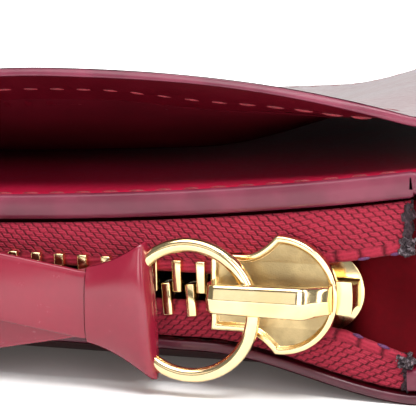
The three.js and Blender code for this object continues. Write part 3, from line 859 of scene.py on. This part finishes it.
def stitch_row(name, body, surface, inset, long, thick=0.3, stop_x=LINE_X - 1):
    bm = bmesh.new()
    for x, y, heading in edge_walk(inset, STITCH_PITCH, stop_x):
        ahead = Vector((x + math.cos(heading) * 0.5, y + math.sin(heading) * 0.5, 0))
        here = Vector((x, y, surface(x, y)))
        ahead.z = surface(ahead.x, ahead.y)
        lie = (ahead - here).to_track_quat("X", "Z").to_matrix().to_4x4()
        tilt = Matrix.Rotation(math.radians(4), 4, "Z")
        size = Matrix.Diagonal((long / 2, thick / 2, thick / 2, 1))
        place = Matrix.Translation(here) @ lie @ tilt @ size
        bmesh.ops.create_uvsphere(bm, u_segments=8, v_segments=5, radius=1, matrix=place)
    finish_mesh(name, bm, [THREAD], body)


def lid_face(x, y):
    return lid_under(x) + LID_WALL


def flap_underside(x, y):
    return flap_top(x, y) - LEATHER_WALL


def flap_face(x, y):
    return flap_top(x, y) - 0.06


def base_face(x, y):
    return base_lift(x, y) + LEATHER_WALL


stitch_row("lid_stitches", "lid", lid_face, 0.95, 1.8, thick=0.36)
stitch_row("flap_stitches_under", "flap", flap_underside, 2.0, 2.2, thick=0.5, stop_x=LINE_X - 4)
stitch_row("flap_stitches_top", "flap", flap_face, 2.0, 1.9, thick=0.24)
stitch_row("base_stitches", "base", base_face, 1.6, 2.1)

# %% [markdown]
# ## Slider plates
#
# The slider is a die casting: two plates of one outline, square at the tail, waisted, and round at
# the nose. The outer plate has a raised rim round a blasted recess. A circle's points are moved onto
# the outline, its face is inset for the rim, pushed back for the recess, and all edges are softened.

# %% Slider plates
NOSE_R = slider_high.z - ZIP_Z
NOSE_X = slider_high.x
TAIL_X = slider_low.x
TAIL_HALF, TAIL_LONG = 3.9, 3.4
SHOULDER = math.radians(86)  # where the shoulders meet the nose, from the tail's direction
PLATE = 0.9
OUTER_FACE = slider_low.y
INNER_FACE = slider_high.y - PLATE


def quadratic(a, b, c, t):
    return tuple(mix(mix(p, q, t), mix(q, r, t), t) for p, q, r in zip(a, b, c))


def plate_outline(shrink, nose_x, nose_r=None):
    """Points round a plate, from the middle of its tail: the upper half, then its mirror."""
    tail = TAIL_HALF - shrink
    radius = (nose_r or NOSE_R) - shrink
    centre = nose_x - radius
    waist = TAIL_X + TAIL_LONG - shrink
    shoulder = (centre - radius * math.cos(SHOULDER), radius * math.sin(SHOULDER))
    bend = (mix(waist, shoulder[0], 0.5), tail + 0.15)
    half = [(TAIL_X, tail * k / 4) for k in range(1, 5)]
    half += [(mix(TAIL_X, waist, k / 4), tail) for k in range(1, 5)]
    half += [quadratic((waist, tail), bend, shoulder, k / 8) for k in range(1, 9)]
    for k in range(1, 24):
        angle = mix(math.pi - SHOULDER, 0, k / 23)
        half.append((centre + radius * math.cos(angle), radius * math.sin(angle)))
    lower = [(x, -z) for x, z in reversed(half[:-1])]
    return half + lower + [(TAIL_X, 0.0)]


def plate(outline, face_y, thick, rim=0.0, recess=0.0):
    """A plate whose outer face is at face_y, towards -Y, with a recess inside its rim."""
    bm = bmesh.new()
    bmesh.ops.create_circle(bm, cap_ends=True, segments=len(outline), radius=1)
    bm.verts.ensure_lookup_table()
    for vert, (x, z) in zip(bm.verts, outline):
        vert.co = (x, z, 0)
    bmesh.ops.recalc_face_normals(bm, faces=bm.faces[:])
    if bm.faces[:][0].normal.z < 0:
        bmesh.ops.reverse_faces(bm, faces=bm.faces[:])
    face = bm.faces[:][0]
    if rim:
        for share, depth in ((0.25, rim * 0.3), (0.55, 0), (0.3, -recess)):
            bmesh.ops.inset_region(
                bm, faces=[face], thickness=rim * share, depth=depth, use_even_offset=True,
                use_boundary=True,
            )
        face.material_index = 1
    border = [edge for edge in bm.edges if edge.is_boundary]
    walls = bmesh.ops.extrude_edge_only(bm, edges=border)["geom"]
    back = [item for item in walls if isinstance(item, bmesh.types.BMVert)]
    for vert in back:
        vert.co.z -= thick
    rim_edges = [item for item in walls if isinstance(item, bmesh.types.BMEdge) and item.is_boundary]
    bmesh.ops.contextual_create(bm, geom=rim_edges)
    bmesh.ops.recalc_face_normals(bm, faces=bm.faces[:])
    sharp = [e for e in bm.edges if len(e.link_faces) == 2 and e.calc_face_angle() > math.radians(35)]
    sharp = [e for e in sharp if abs(e.verts[0].co.z - e.verts[1].co.z) < 0.01]
    bmesh.ops.bevel(
        bm, geom=sharp, offset=0.09, offset_type="OFFSET", segments=2, profile=0.5,
        affect="EDGES", material=-1,
    )
    stand = Matrix.Rotation(math.pi / 2, 4, "X")
    bmesh.ops.transform(bm, matrix=Matrix.Translation((0, face_y, ZIP_Z)) @ stand, verts=bm.verts[:])
    return bm


outer_plate = plate(plate_outline(0, NOSE_X), OUTER_FACE + 0.15, PLATE, rim=0.75, recess=0.5)
finish_mesh(
    "slider_outer_plate", outer_plate, [GOLD, GOLD_RECESS], "slider", ("slider_body",)
)
inner_plate = plate(plate_outline(0.6, NOSE_X + 1.7, 4.9), INNER_FACE, PLATE)
finish_mesh("slider_inner_plate", inner_plate, [GOLD, GOLD], "slider")


# %% Recess of the outer plate
RECESS_SHRINK = 0.62


def recess_skin(u, v):
    """The recess's face is crowned: its middle line is proud, so its halves face up and down a little."""
    tail, radius = TAIL_HALF - RECESS_SHRINK, NOSE_R - RECESS_SHRINK
    centre = NOSE_X - NOSE_R
    if u < 0.5:
        x = mix(TAIL_X + RECESS_SHRINK, centre, u * 2)
        waist = TAIL_X + 3.2
        half = mix(tail, radius, ease((x - waist) / (centre - waist)) ** 1.3)
    else:
        x = centre + radius * math.sin((u - 0.5) * math.pi)
        half = math.sqrt(max(0.01, radius ** 2 - (x - centre) ** 2))
    z = (1 - 2 * v) * half
    return x, OUTER_FACE + 0.3 + 0.42 * (z / NOSE_R) ** 2, ZIP_Z + z


finish_mesh(
    "slider_recess_face", bend_sheet(40, 32, recess_skin, -0.3, rim=0), [GOLD_RECESS, GOLD_RECESS],
    "slider",
)

# %% [markdown]
# ## Slider post, flanges and bridge
#
# A post joins the plates at the nose and parts the two rows of teeth. Flanges along the outer plate
# guide the teeth. The bridge is a broad strap over the front, and the ring is threaded under it.

# %% Slider post, flanges and bridge
def soft_block(low, high, round_mm):
    """A bevelled block between two corners."""
    bm = bmesh.new()
    low, high = Vector(low), Vector(high)
    size = Matrix.Diagonal((*(high - low), 1))
    bmesh.ops.create_cube(bm, size=1, matrix=Matrix.Translation((low + high) / 2) @ size)
    bmesh.ops.bevel(
        bm, geom=bm.edges[:], offset=round_mm, offset_type="OFFSET", segments=3, profile=0.5,
        affect="EDGES", material=-1,
    )
    return bm


def post_place(x, y, z):
    bulge = 1.0 - 0.35 * z * z
    return (
        mix(NOSE_X - 3.2, NOSE_X + 1.0, (x + 1) / 2) + 0.35 * bulge * max(0, x),
        mix(OUTER_FACE + 0.6, INNER_FACE + 0.4, (y + 1) / 2),
        ZIP_Z + z * (1.15 + 0.5 * abs(y) ** 3),
    )


finish_mesh("slider_post", mould(8, post_place), [GOLD], "slider")
for side, word in ((1, "upper"), (-1, "lower")):
    edge = ZIP_Z + side * TAIL_HALF
    low_z, high_z = sorted((edge, edge - side * 0.75))
    flange = soft_block((TAIL_X, OUTER_FACE + 0.3, low_z), (TAIL_X + 4.4, OUTER_FACE + 2.4, high_z), 0.14)
    finish_mesh(f"slider_{word}_flange", flange, [GOLD], "slider")

bridge_low = box_mm("slider_bridge")[0]
BRIDGE_HALF = 1.62


def bridge_place(x, y, z):
    """A strap with a ridge along its front. It turns back square at the tail and sinks in at the nose."""
    along = (x + 1) / 2
    px = mix(bridge_low.x, NOSE_X - 0.5, along)
    turn = 0.75 * max(0.0, 1 - (px - bridge_low.x) / 0.8) ** 2
    tip = ease((along - 0.8) / 0.2)
    front = bridge_low.y + turn + tip * 2.3 + 0.38 * abs(z) + 0.25 * abs(z) ** 8
    back = OUTER_FACE + 0.3 if along < 0.09 else bridge_low.y + 1.3 + tip * 2.6
    half = BRIDGE_HALF * (1 - 0.14 * tip - 0.1 * (1 - along))
    return px, mix(front, back, (y + 1) / 2), ZIP_Z + z * half


finish_mesh(
    "slider_bridge_strap", mould(21, bridge_place), [GOLD], "slider", ("slider_bridge",)
)

# %% [markdown]
# ## Pull ring
#
# The ring is a round wire bent to a circle, made by spinning a small circle round the ring's axis.

# %% Pull ring
ring_low, ring_high = box_mm("pull_ring")
ring_middle = (ring_low + ring_high) / 2
WIRE_R = (ring_high.y - ring_low.y) / 2
RING_R = (ring_high.z - ring_low.z) / 2 - WIRE_R
ring_mesh = bmesh.new()
section = Matrix.Translation((RING_R, 0, 0)) @ Matrix.Rotation(math.pi / 2, 4, "X")
bmesh.ops.create_circle(ring_mesh, segments=20, radius=WIRE_R, matrix=section)
bmesh.ops.spin(
    ring_mesh, geom=ring_mesh.edges[:] + ring_mesh.verts[:], cent=(0, 0, 0), axis=(0, 0, 1),
    dvec=(0, 0, 0), angle=math.tau, steps=96, use_merge=True, use_duplicate=False,
)
bmesh.ops.remove_doubles(ring_mesh, verts=ring_mesh.verts[:], dist=1e-4)
bmesh.ops.recalc_face_normals(ring_mesh, faces=ring_mesh.faces[:])
upright = Matrix.Translation(ring_middle) @ Matrix.Rotation(math.pi / 2, 4, "X")
bmesh.ops.transform(ring_mesh, matrix=upright, verts=ring_mesh.verts[:])
finish_mesh("pull_ring_wire", ring_mesh, [GOLD], "ring", ("pull_ring",))

# %% [markdown]
# ## Leather cap and straps
#
# One strip of leather is folded over the ring and pinched where the two straps leave it, so it flares
# like a bell. The cap is a moulded solid and each strap a sheet that hangs from the cap's mouth.

# %% Cap over the ring
cap_low, cap_high = box_mm("pull_cap")
MOUTH_HALF, RIM_HALF = 3.85, (cap_high.z - cap_low.z) / 2
CAP_MIDDLE = (cap_low + cap_high) / 2


def cap_place(x, y, z):
    along = (x + 1) / 2
    half = quadratic((MOUTH_HALF, 0), (MOUTH_HALF + 0.6, 0), (RIM_HALF, 0), along)[0]
    half += 0.55 * along ** 2 if z < 0 else 0
    px = mix(cap_low.x + 0.6, cap_high.x + 0.3 * (1 - z * z) - 0.6 * z, along)
    thick = mix(1.3, (cap_high.y - cap_low.y) / 2, ease(along * 1.3))
    fold = math.sqrt(max(0.03, 1 - max(0.0, (along - 0.76) / 0.24) ** 4))
    belly = thick * fold * (1 - 0.45 * abs(z) ** 3)
    return px, CAP_MIDDLE.y + y * belly, CAP_MIDDLE.z + z * half


cap_mesh = mould(30, cap_place)
rim_edges = [e for e in cap_mesh.edges if e.calc_face_angle() > math.radians(40)]
bmesh.ops.bevel(
    cap_mesh, geom=rim_edges, offset=0.22, offset_type="OFFSET", segments=3, profile=0.5,
    affect="EDGES", material=-1,
)
finish_mesh("pull_cap_leather", cap_mesh, [STRAP], "ring", ("pull_cap",))

# %% Pull straps
STRAP_WALL, STRAP_WIDE = 0.9, 7.0
BACK_STRAP_Z = 3.5 + 0.3  # half a strap's width, and its clearance over the table


def strap(node, rise_to, turn_rate, tilt):
    """A strap that leaves the cap and turns to its own height. Turn rate is how soon it gets there."""
    low, high = box_mm(node)
    root = cap_low.x + 0.9
    middle = (low.y + high.y) / 2

    def skin(u, v):
        rise = rise_to * math.sin(math.pi / 2 * min(1.0, max(0.0, u - 0.02) * turn_rate))
        x = root - (root - low.x) * u
        lean = tilt * (v - 0.5) * ease(u * 4)
        cup = 0.18 * (2 * v - 1) ** 2
        return x, middle - STRAP_WALL / 2 + cup + lean, CAP_MIDDLE.z + rise + (v - 0.5) * STRAP_WIDE

    sheet = bend_sheet(48, 10, skin, -STRAP_WALL)
    piece = finish_mesh(node + "_leather", sheet, [STRAP, STRAP], replaces=(node,))
    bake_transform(piece)


strap("pull_strap_front", 3.4, 1.27, 0.5)
strap("pull_strap_back", BACK_STRAP_Z - CAP_MIDDLE.z, 1.17, -0.5)

# %% [markdown]
# ## The CAD node that stays
#
# The end stop's shape is right as it is, so it only gets its metal.

# %% End stop
end_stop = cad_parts["zip_end_stop"]
end_stop.data.materials.clear()
end_stop.data.materials.append(GOLD)
print("Kept zip_end_stop, in", GOLD.name)

# %% [markdown]
# ## Studio
#
# A pale floor and a white surround, as in a product shot. A broad light from above models the leather,
# and a smaller, lower one reaches under the flap and lights the lid's front. A light from the front
# fills the shadows, a strip gives the metal its bright lines, and a dim card is there for the slider's
# bridge to mirror. The floor glows a little, and white further off, so its far part doesn't turn grey.

# %% Floor, light and camera
scene = bpy.context.scene
scene.view_settings.view_transform = "Standard"
floor_finish = Finish("pale_floor", Roughness=0.6, Specular_IOR_Level=0.2)
grain = floor_finish.noise(floor_finish.place(), 30, 2.0)
floor_finish.feed("Base Color", floor_finish.mix(grain, (0.93, 0.93, 0.93, 1), (0.96, 0.96, 0.96, 1)))
from_middle = [floor_finish.place()]
far = floor_finish.node("ShaderNodeVectorMath", {"operation": "LENGTH"}, from_middle, out="Value")
glow = floor_finish.step(far, 0.085, 0.2)
floor_finish.feed("Emission Color", floor_finish.mix(glow, (0.06, 0.054, 0.05, 1), (1, 1, 1, 1)))
floor_finish.shader.inputs["Emission Strength"].default_value = 0.9
floor_mesh = bmesh.new()
bmesh.ops.create_grid(floor_mesh, x_segments=8, y_segments=8, size=3000)
bmesh.ops.translate(floor_mesh, verts=floor_mesh.verts[:], vec=(0, 0, -0.05))
finish_mesh("studio_floor", floor_mesh, [floor_finish.material])

world = bpy.data.worlds.new("white_surround")
world.use_nodes = True
world_tree = world.node_tree


def world_node(kind, **settings):
    made = world_tree.nodes.new(kind)
    for setting, value in settings.items():
        setattr(made, setting, value)
    return made


# The surround is white to look at. As a light it is dim, but for a bright wall low down behind.
surround = world_tree.nodes["Background"]
surround.inputs["Color"].default_value = (1, 1, 1, 1)
rays = world_node("ShaderNodeLightPath")
direction = world_node("ShaderNodeTexCoord")
split = world_node("ShaderNodeSeparateXYZ")
world_tree.links.new(direction.outputs["Generated"], split.inputs[0])
wall = world_node("ShaderNodeMapRange", interpolation_type="SMOOTHSTEP")
world_tree.links.new(split.outputs["Y"], wall.inputs["Value"])
for key, value in (("From Min", 0.35), ("From Max", 0.8), ("To Min", 0.0), ("To Max", 4.0)):
    wall.inputs[key].default_value = value
above = world_node("ShaderNodeMapRange", interpolation_type="SMOOTHSTEP")
world_tree.links.new(split.outputs["Z"], above.inputs["Value"])
for key, value in (("From Min", 0.10), ("From Max", 0.16), ("To Min", 0.0), ("To Max", 1.0)):
    above.inputs[key].default_value = value
lit = world_node("ShaderNodeMath", operation="MULTIPLY_ADD")
world_tree.links.new(wall.outputs[0], lit.inputs[0])
world_tree.links.new(above.outputs[0], lit.inputs[1])
lit.inputs[2].default_value = 0.2
seen = world_node("ShaderNodeMix")
world_tree.links.new(rays.outputs["Is Camera Ray"], seen.inputs[0])
world_tree.links.new(lit.outputs[0], seen.inputs[2])
seen.inputs[3].default_value = 1.0
world_tree.links.new(seen.outputs[0], surround.inputs["Strength"])
scene.world = world


def soft_light(name, place_mm, look_mm, wide_mm, high_mm, watts):
    light = bpy.data.lights.new(name, "AREA")
    light.shape = "RECTANGLE"
    light.size = wide_mm * MM
    light.size_y = high_mm * MM
    light.energy = watts
    lamp = bpy.data.objects.new(name, light)
    lamp.location = Vector(place_mm) * MM
    lamp.rotation_euler = (Vector(look_mm) - Vector(place_mm)).to_track_quat("-Z", "Y").to_euler()
    scene.collection.objects.link(lamp)


front_y = -HALF
look_here = (20, front_y, 14)
soft_light("key_from_above", (-30, front_y - 110, 340), look_here, 300, 220, 0.85)
soft_light("low_key", (100, front_y - 140, 270), look_here, 110, 90, 0.6)
soft_light("bridge_card", (-69, front_y - 271, 124), look_here, 170, 110, 0.06)
soft_light("fill_from_front", (190, front_y - 320, 150), look_here, 200, 200, 0.5)
soft_light("strip_from_right", (240, front_y - 60, 140), look_here, 60, 240, 0.2)

AZIMUTH, ELEVATION, DISTANCE = math.radians(18), math.radians(9), 231
TARGET = Vector((20.4, front_y, 18.65))
back = Vector((
    math.sin(AZIMUTH) * math.cos(ELEVATION), -math.cos(AZIMUTH) * math.cos(ELEVATION), math.sin(ELEVATION)
))
lens = bpy.data.cameras.new("close_up")
lens.lens = 200
lens.sensor_width = 36
lens.clip_start = 0.01
camera = bpy.data.objects.new("close_up", lens)
camera.location = (TARGET + back * DISTANCE) * MM
camera.rotation_euler = (-back).to_track_quat("-Z", "Y").to_euler()
scene.collection.objects.link(camera)
scene.camera = camera
print("Camera at", [round(c, 3) for c in camera.location])
